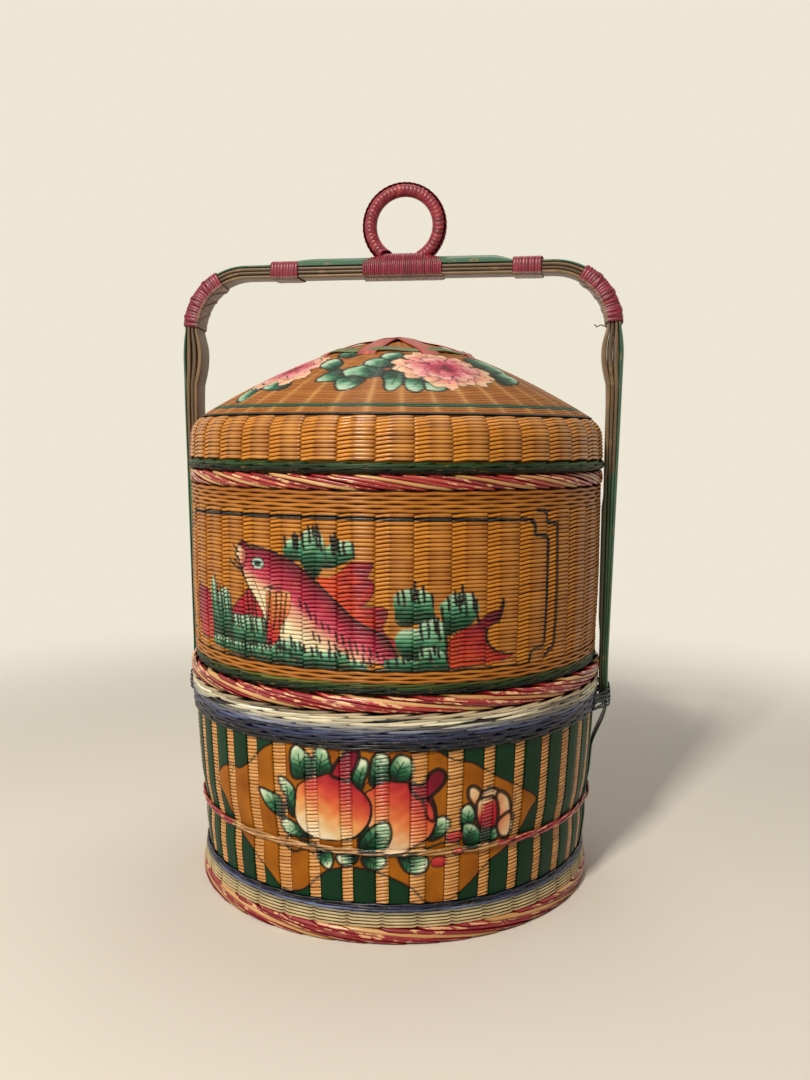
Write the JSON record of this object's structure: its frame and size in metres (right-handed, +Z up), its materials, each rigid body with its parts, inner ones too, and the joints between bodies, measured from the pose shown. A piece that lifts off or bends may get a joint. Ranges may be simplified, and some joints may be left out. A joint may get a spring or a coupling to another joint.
{
  "type": "tiered food basket",
  "caption": "Round woven bamboo food basket: stacking tiers under a domed lid, carried by a tall bent handle with a grip ring.",
  "frame": {"origin": "middle of the base, on the surface that the basket stands on", "axes": "+Z up, X along the handle's bar, the painted side faces -Y"},
  "size_m": [0.3034, 0.281, 0.4668],
  "materials": {
    "ochre_weave": "varnished woven bamboo",
    "green_slats": "painted and varnished",
    "green_rows": "painted woven bamboo",
    "blue_rows": "painted woven bamboo",
    "red_border": "painted twisted strands",
    "natural_bamboo": "bare bamboo",
    "green_culm": "painted culm skin",
    "red_cane": "lacquered cane"
  },
  "bodies": {
    "base": {"lower_wall": "green_slats", "foot_border": "red_border", "lower_foot_band": "blue_rows", "lower_top_band": "blue_rows", "lower_top_border": "red_border", "lower_collar": "natural_bamboo", "lower_floor": "natural_bamboo", "hoop_upper_strand": "red_cane", "hoop_lower_strand": "red_cane", "handle_outer_strip": "green_culm", "handle_second_strip": "natural_bamboo", "handle_third_strip": "natural_bamboo", "handle_inner_strip": "natural_bamboo", "handle_tie_right": "blue_rows", "handle_tie_left": "blue_rows", "corner_binding_right": "red_cane", "corner_binding_left": "red_cane", "bar_binding_left": "red_cane", "bar_binding_right": "red_cane", "ring_binding": "red_cane", "ring_saddle": "natural_bamboo", "grip_ring": "red_cane"},
    "upper_tier": {"upper_wall": "ochre_weave", "upper_foot_band": "green_rows", "upper_top_border": "red_border", "upper_collar": "natural_bamboo", "upper_floor": "natural_bamboo"},
    "lid": {"lid_bottom_edge": "green_rows", "lid_band": "ochre_weave", "lid_dome": "ochre_weave", "lid_crown": "red_cane", "lid_inner_ring": "natural_bamboo"}
  },
  "joints": [
    {"name": "upper_tier_lift", "type": "slide", "parent": "base", "child": "upper_tier", "axis": [0, 0, 1], "range_m": [0, 0.016]},
    {"name": "lid_lift", "type": "slide", "parent": "upper_tier", "child": "lid", "axis": [0, 0, 1], "range_m": [0, 0.016]}
  ]
}
